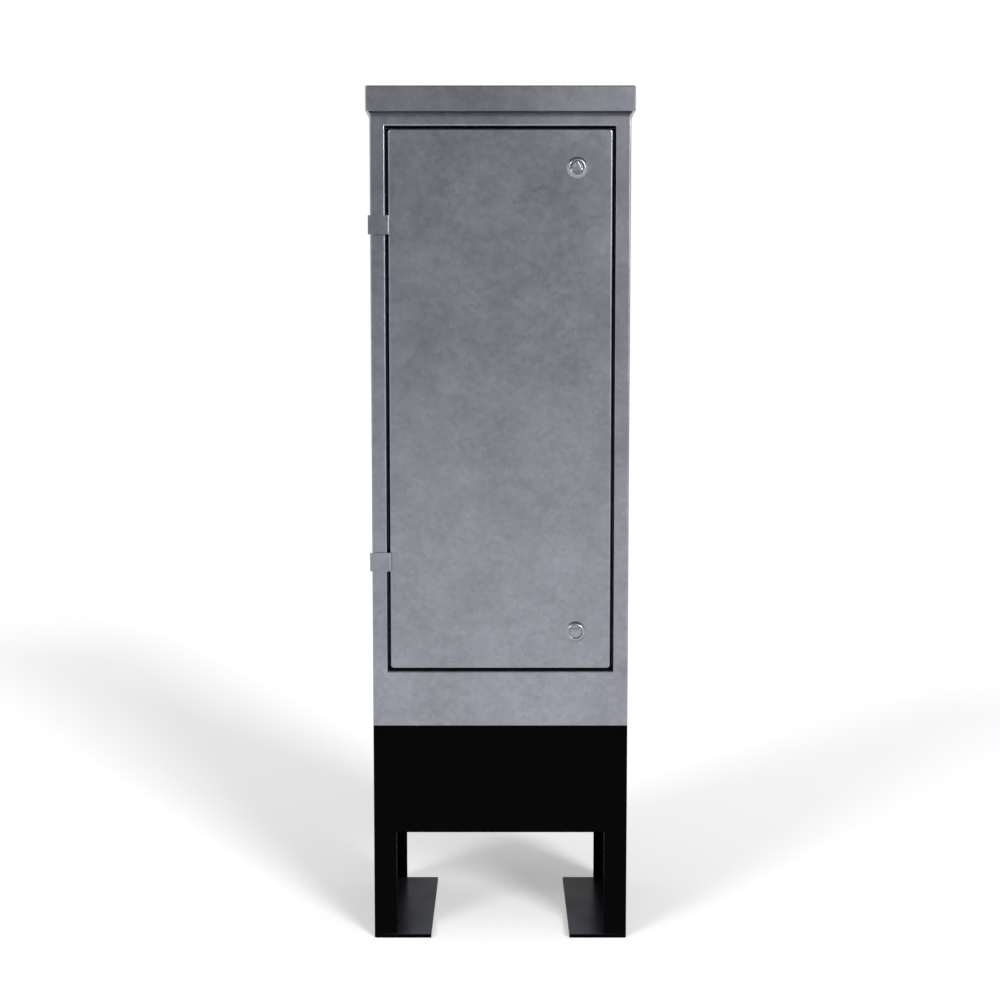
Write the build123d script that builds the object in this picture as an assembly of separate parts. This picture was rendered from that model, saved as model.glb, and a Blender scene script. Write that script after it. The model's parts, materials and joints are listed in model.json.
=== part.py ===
"""Feeder pillar: a galvanised sheet-steel street cabinet with one door on a black root.

Millimetres. X runs to the right, Y to the back, Z up. The origin is on the ground, under the middle.
"""
from build123d import *
import os

# Cabinet shell
cabinet_width = 400.0
cabinet_depth = 280.0
cabinet_height = 985.0
cabinet_sheet = 2.0
bend_inside = 0.6
flange_width = 25.0
frame_depth = 24.0

# Door opening in the front frame
opening_jamb = 23.5
opening_sill = 86.5
opening_head = 56.5
opening_return = 28.0
opening_lip = 15.0

# Canopy
canopy_side_overhang = 5.0
canopy_end_overhang = 15.0
canopy_skirt = 38.0
canopy_sheet = 2.0
canopy_bend_inside = 0.5
canopy_hem = 10.0

# Root and its feet
root_height = 343.0
root_sheet = 3.0
root_leg = 36.0
root_panel = 171.5
foot_width = 90.0
foot_thickness = 6.0

# Door pan
door_gap = 4.5
door_depth = 20.0
door_sheet = 2.0
door_flange = 12.0
door_corner_inside = 3.0

# Stiffener: a hat channel down the inside of the door
stiffener_sheet = 1.5
stiffener_crown = 36.0
stiffener_foot = 14.0
stiffener_depth = 14.0
stiffener_end_margin = 60.0

# Seal on the frame's lip
seal_width = 12.0
seal_edge_margin = 1.5
seal_door_clearance = 0.3

# Hinges: arms on the door, pins and pockets in the cabinet's corner
hinge_upper_drop = 149.5
hinge_lower_rise = 172.5
arm_height = 29.0
arm_thickness = 3.0
arm_front_clearance = 0.5
arm_side_proud = 3.0
knuckle_end_gap = 2.0
arm_edge_radius = 0.4
arm_bend_inside = 0.5
arm_weld_gap = 0.2
pin_diameter = 5.0
pin_setback = 6.0
pin_inset = 6.5
pin_clearance = 0.05
pin_head_diameter = 7.4
pin_head_height = 2.0
pin_tail = 2.0
knuckle_diameter = 16.0
pocket_sheet = 2.0
pocket_clearance = 0.5
pocket_end_play = 0.3
hinge_washer_diameter = 11.0
hinge_washer_clearance = 0.2

# Locks: housing, triangular key post, nut, cam and bolt
lock_side_margin = 54.3
lock_end_margin = 58.0
lock_base_diameter = 33.0
lock_rim_diameter = 24.4
lock_rim_height = 3.6
lock_rim_chamfer = 0.8
lock_cup_diameter = 20.4
lock_cup_depth = 7.6
lock_barrel_diameter = 24.0
lock_barrel_length = 26.0
lock_hole_clearance = 0.2
lock_nut_flats = 30.0
lock_nut_height = 5.0
lock_nut_clearance = 0.1
key_side = 17.5
key_corner = 1.5
key_recess = 0.6
spindle_diameter = 12.0
spindle_clearance = 0.08
spindle_collar_height = 1.6
spindle_cup_gap = 0.4
spindle_square = 8.0
cam_length = 52.0
cam_width = 20.0
cam_thickness = 3.0
cam_hub_diameter = 24.0
cam_lip_clearance = 0.6
cam_square_clearance = 0.1
cam_bolt_diameter = 6.0
cam_bolt_length = 12.0
cam_bolt_clearance = 0.05
cam_bolt_flats = 10.0
cam_bolt_head_height = 4.0
cam_bolt_flange_diameter = 15.0
cam_bolt_flange_height = 1.6

# Backboard and its fixings
backboard_side_gap = 40.0
backboard_end_gap = 21.0
backboard_thickness = 12.0
backboard_standoff = 20.0
backboard_fixing_margin = 40.0
backboard_spacer_diameter = 16.0
backboard_washer_diameter = 24.0

# Eight-millimetre fixings, for the root joint, the backboard and the cabinet's earth
m8_diameter = 8.0
m8_flats = 13.0
m8_head_height = 5.3
m8_nut_height = 6.5
m8_washer_diameter = 16.0
m8_washer_height = 1.6
m8_overlength = 3.0

# Six-millimetre fixings, for the canopy and the door's earth
m6_diameter = 6.0
m6_flats = 10.0
m6_nut_height = 5.0
m6_washer_diameter = 12.0
m6_washer_height = 1.6
m6_overlength = 3.0

# Holes and threads
hole_clearance = 0.5
thread_clearance = 0.05

# Places of the fixings
flange_hole_inset = 15.0
root_bolt_side_reach = 80.0
root_bolt_end_reach = 90.0
canopy_stud_reach = 80.0
body_earth_length = 22.0
body_earth_rise = 55.0
body_earth_depth = 40.0
door_earth_length = 16.0
door_earth_side_margin = 60.0
door_earth_end_margin = 36.0

# How far a cutting tool passes the face that it cuts
overrun = 10.0

# Places worked out from the sizes above
half_width = cabinet_width / 2
front = -cabinet_depth / 2
back = cabinet_depth / 2
bend_outside = bend_inside + cabinet_sheet
cabinet_bottom = root_height
cabinet_top = cabinet_bottom + cabinet_height
inner_half_width = half_width - cabinet_sheet
inner_front = front + cabinet_sheet
inner_back = back - cabinet_sheet
seam = front + frame_depth
flange_half_width = half_width - flange_width
flange_back = back - flange_width
floor_top = cabinet_bottom + cabinet_sheet
ceiling = cabinet_top - cabinet_sheet

opening_width = cabinet_width - 2 * opening_jamb
opening_height = cabinet_height - opening_sill - opening_head
opening_half = opening_width / 2
opening_bottom = cabinet_bottom + opening_sill
opening_top = opening_bottom + opening_height
lip_back = front + opening_return
lip_front = lip_back - cabinet_sheet

door_left = -opening_half + door_gap
door_right = opening_half - door_gap
door_bottom = opening_bottom + door_gap
door_top = opening_top - door_gap
door_back = front + door_depth
door_inside = front + door_sheet
door_flange_front = door_back - door_sheet

strap_front = front - arm_front_clearance - arm_thickness
strap_back = front - arm_front_clearance
strap_left = -half_width - arm_side_proud
knuckle_radius = knuckle_diameter / 2
knuckle_half_height = arm_height / 2 - knuckle_end_gap
pin_x = -half_width + pin_inset
pin_y = front + pin_setback
pin_radius = pin_diameter / 2
strap_swing = ((pin_x - strap_left) ** 2 + (pin_y - strap_front) ** 2) ** 0.5
pocket_right = pin_x + knuckle_radius + pocket_clearance
pocket_back = pin_y + strap_swing + pocket_clearance
pocket_half_height = arm_height / 2 + pocket_end_play
hinge_heights = {
    "upper": opening_top - hinge_upper_drop,
    "lower": opening_bottom + hinge_lower_rise,
}

lock_x = door_right - lock_side_margin
lock_heights = {
    "upper": door_top - lock_end_margin,
    "lower": door_bottom + lock_end_margin,
}
# The upper key post points up and its cam down; the lower pair is the other way round
key_directions = {"upper": 1, "lower": -1}
lock_rim_front = front - lock_rim_height
lock_cup_floor = lock_rim_front + lock_cup_depth
lock_barrel_back = front + lock_barrel_length
cam_front = lip_back + cam_lip_clearance
cam_back = cam_front + cam_thickness

backboard_width = cabinet_width - 2 * backboard_side_gap
backboard_height = opening_height - 2 * backboard_end_gap
backboard_back = inner_back - backboard_standoff
backboard_front = backboard_back - backboard_thickness
backboard_middle = (opening_bottom + opening_top) / 2

m8_radius = m8_diameter / 2
m8_hole = m8_radius + hole_clearance
m8_thread = m8_radius + thread_clearance
m6_radius = m6_diameter / 2
m6_hole = m6_radius + hole_clearance
m6_thread = m6_radius + thread_clearance

root_flange_bottom = root_height - root_sheet
side_hole_x = half_width - flange_hole_inset
end_hole_y = back - flange_hole_inset
root_bolt_places = [
    (side * side_hole_x, end * root_bolt_side_reach) for side in (-1, 1) for end in (-1, 1)
] + [
    (side * root_bolt_end_reach, end * end_hole_y) for side in (-1, 1) for end in (-1, 1)
]
canopy_stud_places = [
    (side * side_hole_x, end * canopy_stud_reach) for side in (-1, 1) for end in (-1, 1)
]
backboard_fixing_places = [
    (
        side * (backboard_width / 2 - backboard_fixing_margin),
        backboard_middle + end * (backboard_height / 2 - backboard_fixing_margin),
    )
    for side in (-1, 1)
    for end in (-1, 1)
]


# Shapes that several pieces share
def block(low, high):
    """A block between two opposite corners."""
    size = [b - a for a, b in zip(low, high)]
    middle = [(a + b) / 2 for a, b in zip(low, high)]
    return Pos(*middle) * Box(*size)


def upright(x, y, bottom, top, radius):
    """A round bar along Z."""
    middle = (bottom + top) / 2
    return Pos(x, y, middle) * Cylinder(radius, top - bottom)


def upright_ring(x, y, bottom, top, radius, hole):
    """A washer or tube along Z."""
    return upright(x, y, bottom, top, radius) - upright(x, y, bottom - overrun, top + overrun, hole)


def upright_hexagon(x, y, bottom, top, flats):
    """A hexagonal bar along Z."""
    outline = RegularPolygon(flats / 2, 6, major_radius=False)
    return Pos(x, y, bottom) * extrude(outline, amount=top - bottom)


def through_depth(outline, y_front, y_back):
    """An outline drawn as seen from the front, in X and Z, carried from one depth to another."""
    return extrude(Plane.XZ.offset(-y_front) * outline, amount=y_front - y_back)


def depth_bar(x, z, y_front, y_back, radius):
    """A round bar along Y."""
    return through_depth(Pos(x, z) * Circle(radius), y_front, y_back)


def depth_hexagon(x, z, y_front, y_back, flats):
    """A hexagonal bar along Y."""
    outline = RegularPolygon(flats / 2, 6, major_radius=False)
    return through_depth(Pos(x, z) * outline, y_front, y_back)


def depth_ring(x, z, y_front, y_back, radius, hole):
    """A washer or tube along Y."""
    return through_depth(Pos(x, z) * (Circle(radius) - Circle(hole)), y_front, y_back)


def cross_bar(y, z, x_low, x_high, radius):
    """A round bar along X."""
    middle = (x_low + x_high) / 2
    return Pos(middle, y, z) * Rot(0, 90, 0) * Cylinder(radius, x_high - x_low)


def upright_edges_at_front(shape):
    """The vertical edges of a block on its front side."""
    return shape.edges().filter_by(Axis.Z).group_by(Axis.Y)[0]


def upright_edges_at_back(shape):
    """The vertical edges of a block on its back side."""
    return shape.edges().filter_by(Axis.Z).group_by(Axis.Y)[-1]


def flange_holes(places, bottom, top, radius):
    """Drills through a horizontal flange."""
    return [upright(x, y, bottom - overrun, top + overrun, radius) for x, y in places]


# Cabinet
def make_body_wrapper():
    """Two sides and the back, folded from one sheet, with flanges turned in at the top and bottom."""
    shell = block((-half_width, seam, cabinet_bottom), (half_width, back, cabinet_top))
    shell = fillet(upright_edges_at_back(shell), bend_outside)
    hollow = block(
        (-inner_half_width, seam - overrun, floor_top),
        (inner_half_width, inner_back, ceiling),
    )
    hollow = fillet(upright_edges_at_back(hollow), bend_inside)
    window = block(
        (-flange_half_width, seam - overrun, cabinet_bottom - overrun),
        (flange_half_width, flange_back, cabinet_top + overrun),
    )
    wrapper = shell - hollow - window
    wrapper -= flange_holes(root_bolt_places, cabinet_bottom, floor_top, m8_hole)
    wrapper -= flange_holes(canopy_stud_places, ceiling, cabinet_top, m6_hole)
    return wrapper


def make_front_frame():
    """The front sheet: a shallow tray whose opening is folded back and ends in a sealing lip."""
    tray = block((-half_width, front, cabinet_bottom), (half_width, seam, cabinet_top))
    tray = fillet(upright_edges_at_front(tray), bend_outside)
    hollow = block(
        (-inner_half_width, inner_front, floor_top),
        (inner_half_width, seam + overrun, ceiling),
    )
    hollow = fillet(upright_edges_at_front(hollow), bend_inside)
    collar = block(
        (-opening_half - cabinet_sheet, front, opening_bottom - cabinet_sheet),
        (opening_half + cabinet_sheet, lip_back, opening_top + cabinet_sheet),
    )
    mouth = block(
        (-opening_half, front - overrun, opening_bottom),
        (opening_half, lip_front, opening_top),
    )
    window = block(
        (-opening_half + opening_lip, front - overrun, opening_bottom + opening_lip),
        (opening_half - opening_lip, lip_back + overrun, opening_top - opening_lip),
    )
    frame = tray - hollow + collar - mouth - window
    front_face = frame.faces().filter_by(Axis.Y).sort_by(Axis.Y)[0]
    frame = fillet(front_face.inner_wires()[0].edges(), bend_outside)
    for height in hinge_heights.values():
        frame -= block(
            (-half_width - overrun, front - overrun, height - pocket_half_height),
            (pocket_right, pocket_back, height + pocket_half_height),
        )
    frame -= flange_holes(root_bolt_places, cabinet_bottom, floor_top, m8_hole)
    return frame


def make_canopy():
    """The roof: a folded tray, upside down, whose hemmed skirt stands clear of the walls."""
    half_x = half_width + canopy_side_overhang
    half_y = back + canopy_end_overhang
    roof_top = cabinet_top + canopy_sheet
    skirt_bottom = roof_top - canopy_skirt
    roof = block((-half_x, -half_y, skirt_bottom), (half_x, half_y, roof_top))
    corners = roof.edges().filter_by(Axis.Z) + roof.faces().sort_by(Axis.Z)[-1].edges()
    roof = fillet(corners, canopy_bend_inside + canopy_sheet)
    hem_top = skirt_bottom + canopy_hem
    hem = 2 * canopy_sheet
    hollow = block(
        (-half_x + canopy_sheet, -half_y + canopy_sheet, hem_top),
        (half_x - canopy_sheet, half_y - canopy_sheet, cabinet_top),
    )
    mouth = block(
        (-half_x + hem, -half_y + hem, skirt_bottom - overrun),
        (half_x - hem, half_y - hem, hem_top + overrun),
    )
    hollow = fillet(hollow.edges().filter_by(Axis.Z), canopy_bend_inside)
    return roof - hollow - mouth


def canopy_washer_bottom():
    """Underside of the washers that hold the canopy down."""
    return ceiling - m6_washer_height


def make_canopy_studs():
    """Studs welded under the roof, down through the cabinet's top flange."""
    tip = canopy_washer_bottom() - m6_nut_height - m6_overlength
    return [upright(x, y, tip, cabinet_top, m6_radius) for x, y in canopy_stud_places]


def make_canopy_washers():
    """Washers under the top flange."""
    low = canopy_washer_bottom()
    radius = m6_washer_diameter / 2
    return [upright_ring(x, y, low, ceiling, radius, m6_thread) for x, y in canopy_stud_places]


def make_canopy_nuts():
    """Nuts on the canopy's studs."""
    high = canopy_washer_bottom()
    low = high - m6_nut_height
    drills = flange_holes(canopy_stud_places, low, high, m6_thread)
    nuts = [upright_hexagon(x, y, low, high, m6_flats) for x, y in canopy_stud_places]
    return [nut - drill for nut, drill in zip(nuts, drills)]


def make_door_seal():
    """A foam ring stuck to the front of the frame's lip."""
    width = opening_width - 2 * seal_edge_margin
    height = opening_height - 2 * seal_edge_margin
    ring = Rectangle(width, height) - Rectangle(width - 2 * seal_width, height - 2 * seal_width)
    ring = Pos(0, (opening_bottom + opening_top) / 2) * ring
    return through_depth(ring, door_back + seal_door_clearance, lip_front)


# Hinges
def make_hinge_pocket(height):
    """A folded box inside the corner that closes the notch in the sheet and carries the pin."""
    low = height - pocket_half_height
    high = height + pocket_half_height
    box = block(
        (-inner_half_width, inner_front, low - pocket_sheet),
        (pocket_right + pocket_sheet, pocket_back + pocket_sheet, high + pocket_sheet),
    )
    corner = upright_edges_at_front(box).sort_by(Axis.X)[0]
    box = chamfer(corner, bend_inside)
    room = block(
        (-inner_half_width - overrun, inner_front - overrun, low),
        (pocket_right, pocket_back, high),
    )
    pin_hole = upright(pin_x, pin_y, low - overrun, high + overrun, pin_radius + pin_clearance)
    return box - room - pin_hole


def make_hinge_pin(height):
    """A headed pin, dropped in from above."""
    reach = pocket_half_height + pocket_sheet
    shank = upright(pin_x, pin_y, height - reach - pin_tail, height + reach, pin_radius)
    head_radius = pin_head_diameter / 2
    head = upright(pin_x, pin_y, height + reach, height + reach + pin_head_height, head_radius)
    return shank + head


def make_hinge_washer(height):
    """The washer that the arm turns on, on the pocket's floor."""
    low = height - pocket_half_height
    high = height - knuckle_half_height - hinge_washer_clearance
    radius = hinge_washer_diameter / 2
    return upright_ring(pin_x, pin_y, low, high, radius, pin_radius + pin_clearance)


def make_hinge_arm(height):
    """A flat strap with a knuckle welded behind one end and a leg folded back into the door at the other."""
    strap_right = door_left + arm_thickness
    low = height - arm_height / 2
    high = height + arm_height / 2
    knuckle_low = height - knuckle_half_height
    knuckle_high = height + knuckle_half_height
    knuckle = upright(pin_x, pin_y, knuckle_low, knuckle_high, knuckle_radius)
    strap = block((strap_left, strap_front, low), (strap_right, strap_back, high))
    leg = block((door_left, strap_front, low), (strap_right, door_flange_front, high))
    bent_strap = strap + leg
    outer_corner = upright_edges_at_front(bent_strap).sort_by(Axis.X)[-1]
    bent_strap = fillet(outer_corner, arm_bend_inside + arm_thickness)
    front_face = bent_strap.faces().sort_by(Axis.Y)[0]
    bent_strap = fillet(front_face.edges().sort_by(Axis.X)[0], arm_edge_radius)
    pin_hole = upright(pin_x, pin_y, low - overrun, high + overrun, pin_radius + pin_clearance)
    return knuckle + bent_strap - pin_hole


# Door
def make_door_panel():
    """The door: a folded pan with flanges turned in at the back, notched for the hinge arms."""
    pan = block((door_left, front, door_bottom), (door_right, door_back, door_top))
    pan = fillet(pan.edges().filter_by(Axis.Y), door_corner_inside + door_sheet)
    pan = fillet(pan.faces().sort_by(Axis.Y)[0].edges(), bend_inside + door_sheet)
    hollow = block(
        (door_left + door_sheet, door_inside, door_bottom + door_sheet),
        (door_right - door_sheet, door_flange_front, door_top - door_sheet),
    )
    hollow = fillet(hollow.edges().filter_by(Axis.Y), door_corner_inside)
    hollow = fillet(hollow.faces().sort_by(Axis.Y)[0].edges(), bend_inside)
    window = block(
        (door_left + door_flange, door_inside + overrun, door_bottom + door_flange),
        (door_right - door_flange, door_back + overrun, door_top - door_flange),
    )
    pan = pan - hollow - window
    for height in hinge_heights.values():
        reach = arm_height / 2 + arm_weld_gap
        pan -= block(
            (door_left - overrun, front - overrun, height - reach),
            (door_left + arm_thickness + arm_weld_gap, door_flange_front, height + reach),
        )
    hole = lock_barrel_diameter / 2 + lock_hole_clearance
    for height in lock_heights.values():
        pan -= depth_bar(lock_x, height, front - overrun, door_inside + overrun, hole)
    return pan


def make_door_stiffener():
    """A hat channel, welded by its two feet to the inside of the door."""
    low = door_bottom + stiffener_end_margin
    high = door_top - stiffener_end_margin
    crown_half = stiffener_crown / 2
    foot_half = crown_half + stiffener_foot
    crown_back = door_inside + stiffener_depth
    hat = block((-crown_half, door_inside, low), (crown_half, crown_back, high))
    hat += block((-foot_half, door_inside, low), (foot_half, door_inside + stiffener_sheet, high))
    hat -= block(
        (-crown_half + stiffener_sheet, door_inside - overrun, low - overrun),
        (crown_half - stiffener_sheet, crown_back - stiffener_sheet, high + overrun),
    )
    return hat


# Locks
def make_lock_housing(height):
    """A turned body: a raised conical rim round a cup, on a barrel that passes through the door."""
    cup = lock_cup_diameter / 2
    barrel = lock_barrel_diameter / 2
    bore = spindle_diameter / 2 + spindle_clearance
    outline = Polyline(
        (cup, lock_rim_front),
        (lock_rim_diameter / 2, lock_rim_front),
        (lock_base_diameter / 2, front),
        (barrel, front),
        (barrel, lock_barrel_back),
        (bore, lock_barrel_back),
        (bore, lock_cup_floor),
        (cup, lock_cup_floor),
        close=True,
    )
    section = make_face(outline)
    rim_corners = section.vertices().group_by(Axis.Y)[0]
    section = chamfer(rim_corners, lock_rim_chamfer)
    return Pos(lock_x, 0, height) * revolve(section, Axis.Y)


def make_lock_nut(height):
    """The nut that clamps a lock's barrel behind the door sheet."""
    far = door_inside + lock_nut_height
    nut = depth_hexagon(lock_x, height, door_inside, far, lock_nut_flats)
    hole = lock_barrel_diameter / 2 + lock_nut_clearance
    return nut - depth_bar(lock_x, height, door_inside - overrun, far + overrun, hole)


def make_lock_spindle(height, direction):
    """The turning core: a triangular key post in the cup, a round shank and a square tail."""
    post = RegularPolygon(key_side / 3**0.5, 3, rotation=90 * direction)
    post = fillet(post.vertices(), key_corner)
    collar_back = lock_cup_floor - spindle_clearance
    collar_front = collar_back - spindle_collar_height
    collar_radius = lock_cup_diameter / 2 - spindle_cup_gap
    spindle = through_depth(Pos(lock_x, height) * post, lock_rim_front + key_recess, collar_back)
    spindle += depth_bar(lock_x, height, collar_front, collar_back, collar_radius)
    spindle += depth_bar(lock_x, height, collar_back, cam_front, spindle_diameter / 2)
    tail = Pos(lock_x, height) * Rectangle(spindle_square, spindle_square)
    spindle += through_depth(tail, cam_front, cam_back - cam_square_clearance)
    drill = cam_bolt_diameter / 2 + cam_bolt_clearance
    drill_front = cam_back - cam_bolt_length - cam_square_clearance
    return spindle - depth_bar(lock_x, height, drill_front, cam_back + overrun, drill)


def make_lock_cam(height, direction):
    """A flat tongue on the spindle's square, pointing at the middle of the door when unlocked."""
    straight = cam_length - cam_width / 2
    tongue = Pos(0, -direction * straight / 2) * Rectangle(cam_width, straight)
    tip = Pos(0, -direction * straight) * Circle(cam_width / 2)
    square = spindle_square + 2 * cam_square_clearance
    outline = Circle(cam_hub_diameter / 2) + tongue + tip - Rectangle(square, square)
    return through_depth(Pos(lock_x, height) * outline, cam_front, cam_back)


def make_cam_bolt(height):
    """A flanged bolt in the spindle's tail that holds the cam on."""
    flange_far = cam_back + cam_bolt_flange_height
    shank_front = cam_back - cam_bolt_length
    bolt = depth_bar(lock_x, height, shank_front, cam_back, cam_bolt_diameter / 2)
    bolt += depth_bar(lock_x, height, cam_back, flange_far, cam_bolt_flange_diameter / 2)
    head_far = flange_far + cam_bolt_head_height
    return bolt + depth_hexagon(lock_x, height, flange_far, head_far, cam_bolt_flats)


# Backboard
def make_backboard():
    """A plywood board for the equipment, held off the back wall."""
    low = (-backboard_width / 2, backboard_front, backboard_middle - backboard_height / 2)
    high = (backboard_width / 2, backboard_back, backboard_middle + backboard_height / 2)
    board = block(low, high)
    for x, z in backboard_fixing_places:
        board -= depth_bar(x, z, backboard_front - overrun, backboard_back + overrun, m8_hole)
    return board


def backboard_washer_front():
    """Front of the washers that hold the backboard."""
    return backboard_front - m8_washer_height


def make_backboard_studs():
    """Studs welded to the back wall."""
    tip = backboard_washer_front() - m8_nut_height - m8_overlength
    return [depth_bar(x, z, tip, inner_back, m8_radius) for x, z in backboard_fixing_places]


def make_backboard_spacers():
    """Tubes on the studs, between the back wall and the board."""
    radius = backboard_spacer_diameter / 2
    return [
        depth_ring(x, z, backboard_back, inner_back, radius, m8_thread)
        for x, z in backboard_fixing_places
    ]


def make_backboard_washers():
    """Wide washers on the front of the board."""
    radius = backboard_washer_diameter / 2
    near = backboard_washer_front()
    return [
        depth_ring(x, z, near, backboard_front, radius, m8_thread)
        for x, z in backboard_fixing_places
    ]


def make_backboard_nuts():
    """Nuts on the backboard's studs."""
    far = backboard_washer_front()
    near = far - m8_nut_height
    nuts = []
    for x, z in backboard_fixing_places:
        nut = depth_hexagon(x, z, near, far, m8_flats)
        nuts.append(nut - depth_bar(x, z, near - overrun, far + overrun, m8_thread))
    return nuts


# Earth studs
def make_body_earth_stud():
    """A brass stud on the right side wall, low down."""
    height = cabinet_bottom + body_earth_rise
    low = inner_half_width - body_earth_length
    return cross_bar(body_earth_depth, height, low, inner_half_width, m8_radius)


def make_body_earth_nuts():
    """A nut against the wall and a second one to clamp a conductor."""
    height = cabinet_bottom + body_earth_rise
    nuts = []
    for index in (0, 1):
        high = inner_half_width - index * (m8_nut_height + m8_washer_height)
        outline = RegularPolygon(m8_flats / 2, 6, major_radius=False) - Circle(m8_thread)
        nut = extrude(outline, amount=-m8_nut_height)
        nuts.append(Pos(high, body_earth_depth, height) * Rot(0, 90, 0) * nut)
    return nuts


def make_door_earth_stud():
    """A brass stud on the inside of the door, low down on the hinge side."""
    x = door_left + door_earth_side_margin
    z = door_bottom + door_earth_end_margin
    return depth_bar(x, z, door_inside, door_inside + door_earth_length, m6_radius)


def make_door_earth_nut():
    """The nut on the door's earth stud, against the sheet."""
    x = door_left + door_earth_side_margin
    z = door_bottom + door_earth_end_margin
    far = door_inside + m6_nut_height
    nut = depth_hexagon(x, z, door_inside, far, m6_flats)
    return nut - depth_bar(x, z, door_inside - overrun, far + overrun, m6_thread)


# Root
def make_root_frame():
    """Four walls with a flange on top; the front and the back are cut away between the legs."""
    shell = block((-half_width, front, foot_thickness), (half_width, back, root_height))
    shell = fillet(shell.edges().filter_by(Axis.Z), bend_inside + root_sheet)
    hollow = block(
        (-half_width + root_sheet, front + root_sheet, foot_thickness - overrun),
        (half_width - root_sheet, back - root_sheet, root_flange_bottom),
    )
    hollow = fillet(hollow.edges().filter_by(Axis.Z), bend_inside)
    window = block(
        (-flange_half_width, -flange_back, root_flange_bottom - overrun),
        (flange_half_width, flange_back, root_height + overrun),
    )
    cutout_half = half_width - root_leg
    cutout = block(
        (-cutout_half, front - overrun, -overrun),
        (cutout_half, back + overrun, root_height - root_panel),
    )
    root = shell - hollow - window - cutout
    root -= flange_holes(root_bolt_places, root_flange_bottom, root_height, m8_hole)
    return root


def make_foot(side):
    """A plate across the bottom of one pair of legs."""
    outer = side * half_width
    inner = side * (half_width - foot_width)
    foot = block((min(outer, inner), front, 0), (max(outer, inner), back, foot_thickness))
    outer_edges = foot.edges().filter_by(Axis.Z).sort_by(Axis.X, reverse=side > 0)[:2]
    return fillet(outer_edges, bend_inside + root_sheet)


def make_root_bolts():
    """Hexagon bolts, heads up, through the cabinet's bottom flange and the root's top flange."""
    head_low = floor_top + m8_washer_height
    head_high = head_low + m8_head_height
    tip = root_flange_bottom - m8_washer_height - m8_nut_height - m8_overlength
    bolts = []
    for x, y in root_bolt_places:
        head = upright_hexagon(x, y, head_low, head_high, m8_flats)
        bolts.append(head + upright(x, y, tip, head_low, m8_radius))
    return bolts


def make_root_washers():
    """Washers above and below the two flanges."""
    radius = m8_washer_diameter / 2
    washers = []
    for x, y in root_bolt_places:
        for low in (floor_top, root_flange_bottom - m8_washer_height):
            washers.append(upright_ring(x, y, low, low + m8_washer_height, radius, m8_thread))
    return washers


def make_root_nuts():
    """Nuts under the root's flange."""
    high = root_flange_bottom - m8_washer_height
    low = high - m8_nut_height
    drills = flange_holes(root_bolt_places, low, high, m8_thread)
    nuts = [upright_hexagon(x, y, low, high, m8_flats) for x, y in root_bolt_places]
    return [nut - drill for nut, drill in zip(nuts, drills)]


def make_pieces():
    """Every piece by its name."""
    pieces = {
        "body_wrapper": make_body_wrapper(),
        "front_frame": make_front_frame(),
        "canopy": make_canopy(),
        "canopy_studs": make_canopy_studs(),
        "canopy_washers": make_canopy_washers(),
        "canopy_nuts": make_canopy_nuts(),
        "door_seal": make_door_seal(),
        "door_panel": make_door_panel(),
        "door_stiffener": make_door_stiffener(),
        "backboard": make_backboard(),
        "backboard_studs": make_backboard_studs(),
        "backboard_spacers": make_backboard_spacers(),
        "backboard_washers": make_backboard_washers(),
        "backboard_nuts": make_backboard_nuts(),
        "body_earth_stud": make_body_earth_stud(),
        "body_earth_nuts": make_body_earth_nuts(),
        "door_earth_stud": make_door_earth_stud(),
        "door_earth_nut": make_door_earth_nut(),
        "root_frame": make_root_frame(),
        "left_foot": make_foot(-1),
        "right_foot": make_foot(1),
        "root_bolts": make_root_bolts(),
        "root_washers": make_root_washers(),
        "root_nuts": make_root_nuts(),
    }
    for level, height in hinge_heights.items():
        pieces[f"{level}_hinge_pocket"] = make_hinge_pocket(height)
        pieces[f"{level}_hinge_pin"] = make_hinge_pin(height)
        pieces[f"{level}_hinge_washer"] = make_hinge_washer(height)
        pieces[f"{level}_hinge_arm"] = make_hinge_arm(height)
    for level, height in lock_heights.items():
        direction = key_directions[level]
        pieces[f"{level}_lock_housing"] = make_lock_housing(height)
        pieces[f"{level}_lock_nut"] = make_lock_nut(height)
        pieces[f"{level}_lock_spindle"] = make_lock_spindle(height, direction)
        pieces[f"{level}_lock_cam"] = make_lock_cam(height, direction)
        pieces[f"{level}_cam_bolt"] = make_cam_bolt(height)
    return pieces


os.makedirs("parts", exist_ok=True)
for name, piece in make_pieces().items():
    solid = Compound(piece) if isinstance(piece, list) else piece
    export_step(solid, f"parts/{name}.step")
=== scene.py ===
"""Dresses the feeder pillar: finishes for every piece, fine pieces, the studio and the camera."""
import json
import logging
import math
from collections.abc import Callable
from dataclasses import dataclass, field
from enum import Enum

import bpy
import numpy as np
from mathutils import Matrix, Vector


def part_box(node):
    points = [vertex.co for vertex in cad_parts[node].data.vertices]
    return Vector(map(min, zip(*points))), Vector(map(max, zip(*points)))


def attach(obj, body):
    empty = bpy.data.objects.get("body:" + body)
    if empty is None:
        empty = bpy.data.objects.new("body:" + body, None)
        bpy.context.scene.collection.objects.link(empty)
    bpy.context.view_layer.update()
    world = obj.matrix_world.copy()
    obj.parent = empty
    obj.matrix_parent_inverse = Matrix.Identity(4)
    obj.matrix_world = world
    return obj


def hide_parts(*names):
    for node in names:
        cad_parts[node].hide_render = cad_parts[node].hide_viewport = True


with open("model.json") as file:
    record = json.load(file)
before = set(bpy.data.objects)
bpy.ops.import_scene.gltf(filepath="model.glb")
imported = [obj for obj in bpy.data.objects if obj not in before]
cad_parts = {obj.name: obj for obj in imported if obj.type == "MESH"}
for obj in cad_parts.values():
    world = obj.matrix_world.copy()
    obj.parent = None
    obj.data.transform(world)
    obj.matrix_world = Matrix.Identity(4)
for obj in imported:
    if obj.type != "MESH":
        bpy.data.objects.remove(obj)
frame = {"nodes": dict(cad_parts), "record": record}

LOG = logging.getLogger("pillar")
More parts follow.
